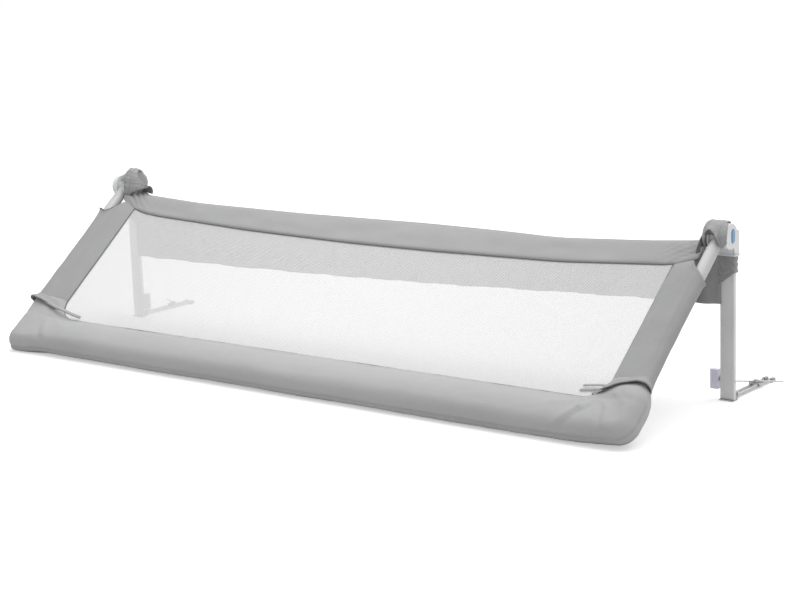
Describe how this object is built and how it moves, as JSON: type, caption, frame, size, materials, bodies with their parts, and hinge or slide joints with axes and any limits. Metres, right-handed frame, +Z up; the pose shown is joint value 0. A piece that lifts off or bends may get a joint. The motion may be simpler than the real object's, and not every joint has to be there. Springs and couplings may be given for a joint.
{
  "type": "folding bed guard rail",
  "caption": "Fabric and net covered tube guard that swings down on two posts with fold-away wire feet; shown folded down in front of its posts.",
  "frame": {"origin": "middle of the footprint, on the floor", "axes": "+X along the rail to the end whose hinge housing shows, +Y towards the mattress, the way the feet point, +Z up"},
  "size_m": [1.546, 0.5442, 0.3201],
  "materials": {
    "sleeve_fabric": "woven polyester, matt",
    "skirt_fabric": "woven polyester, matt",
    "net": "open mesh",
    "white_tube": "white powder coat",
    "white_plastic": "satin",
    "blue_plastic": "semi-gloss",
    "lavender_plastic": "translucent",
    "grey_plastic": "matt",
    "steel": "zinc plated"
  },
  "bodies": {
    "post_left": {"hinge_housing_left": "white_plastic", "housing_cover_left": "white_plastic", "hinge_axle_left": "steel", "pawl_spring_left": "steel", "button_spring_left": "steel", "housing_screw_left": "steel", "post_loop_left": "skirt_fabric", "hinge_hood_left": "sleeve_fabric", "post_bar_left": "white_tube", "foot_bracket_left": "white_tube", "foot_pin_left": "steel", "catch_spring_left": "steel", "hanging_skirt": "skirt_fabric"},
    "guard": {"rail_tube": "white_tube", "rail_sleeve": "sleeve_fabric", "guard_band": "sleeve_fabric", "net_window": "net", "hub_arm_left": "white_plastic", "hub_arm_right": "white_plastic", "side_tube_left": "white_tube", "side_tube_right": "white_tube", "corner_tube_left": "white_tube", "corner_tube_right": "white_tube", "side_snap_left": "steel", "side_snap_right": "steel", "rail_snap_left": "steel", "rail_snap_right": "steel", "side_sleeve_left": "sleeve_fabric", "side_sleeve_right": "sleeve_fabric", "hem_tab_left": "sleeve_fabric", "hem_tab_right": "sleeve_fabric"},
    "post_right": {"hinge_housing_right": "white_plastic", "housing_cover_right": "white_plastic", "hinge_axle_right": "steel", "pawl_spring_right": "steel", "button_spring_right": "steel", "housing_screw_right": "steel", "post_loop_right": "skirt_fabric", "hinge_hood_right": "sleeve_fabric", "post_bar_right": "white_tube", "foot_bracket_right": "white_tube", "foot_pin_right": "steel", "catch_spring_right": "steel"},
    "button_left": {"release_button_left": "blue_plastic"},
    "pawl_left": {"lock_pawl_left": "grey_plastic"},
    "foot_left": {"foot_fork_left": "white_tube", "rod_cap_inner_left": "grey_plastic", "rod_cap_outer_left": "grey_plastic", "rod_clamp_left": "steel"},
    "wire_left": {"cross_wire_left": "steel"},
    "catch_left": {"foot_catch_left": "lavender_plastic"},
    "button_right": {"release_button_right": "blue_plastic"},
    "pawl_right": {"lock_pawl_right": "grey_plastic"},
    "foot_right": {"foot_fork_right": "white_tube", "rod_cap_inner_right": "grey_plastic", "rod_cap_outer_right": "grey_plastic", "rod_clamp_right": "steel"},
    "wire_right": {"cross_wire_right": "steel"},
    "catch_right": {"foot_catch_right": "lavender_plastic"}
  },
  "joints": [
    {"name": "left_guard_hinge", "type": "hinge", "parent": "post_left", "child": "guard", "pos_m": [-0.725, 0.09106, 0.295], "axis": [1, 0, 0], "range_deg": [-128.5, 45]},
    {"name": "right_guard_hinge", "type": "hinge", "parent": "guard", "child": "post_right", "pos_m": [0.725, 0.09106, 0.295], "axis": [1, 0, 0], "range_deg": [-45.5, 129]},
    {"name": "foot_fold_left", "type": "hinge", "parent": "post_left", "child": "foot_left", "pos_m": [-0.73, 0.12206, 0.01], "axis": [1, 0, 0], "range_deg": [0, 90]},
    {"name": "cross_wire_left", "type": "hinge", "parent": "foot_left", "child": "wire_left", "pos_m": [-0.73, 0.21706, 0.01135], "axis": [0, 0, -1], "range_deg": [-28, 62]},
    {"name": "release_button_left", "type": "slide", "parent": "post_left", "child": "button_left", "axis": [1, 0, 0], "range_m": [0, 0.0025], "stiffness_N_per_m": 400, "springref_m": -0.002},
    {"name": "lock_pawl_left", "type": "slide", "parent": "post_left", "child": "pawl_left", "axis": [0, 1, 0], "range_m": [0, 0.0025]},
    {"name": "foot_catch_left", "type": "slide", "parent": "post_left", "child": "catch_left", "axis": [-1, 0, 0], "range_m": [0, 0.003], "stiffness_N_per_m": 300, "springref_m": -0.003},
    {"name": "foot_fold_right", "type": "hinge", "parent": "post_right", "child": "foot_right", "pos_m": [0.73, 0.12206, 0.01], "axis": [1, 0, 0], "range_deg": [0, 90]},
    {"name": "cross_wire_right", "type": "hinge", "parent": "foot_right", "child": "wire_right", "pos_m": [0.73, 0.21706, 0.01135], "axis": [0, 0, 1], "range_deg": [-28, 62]},
    {"name": "release_button_right", "type": "slide", "parent": "post_right", "child": "button_right", "axis": [-1, 0, 0], "range_m": [0, 0.0025], "stiffness_N_per_m": 400, "springref_m": -0.002},
    {"name": "lock_pawl_right", "type": "slide", "parent": "post_right", "child": "pawl_right", "axis": [0, 1, 0], "range_m": [0, 0.0025]},
    {"name": "foot_catch_right", "type": "slide", "parent": "post_right", "child": "catch_right", "axis": [1, 0, 0], "range_m": [0, 0.003], "stiffness_N_per_m": 300, "springref_m": -0.003}
  ],
  "couplings": [
    {"joint": "right_guard_hinge", "follows": "left_guard_hinge", "ratio": -1},
    {"joint": "lock_pawl_left", "follows": "release_button_left", "ratio": 1},
    {"joint": "lock_pawl_right", "follows": "release_button_right", "ratio": 1}
  ]
}
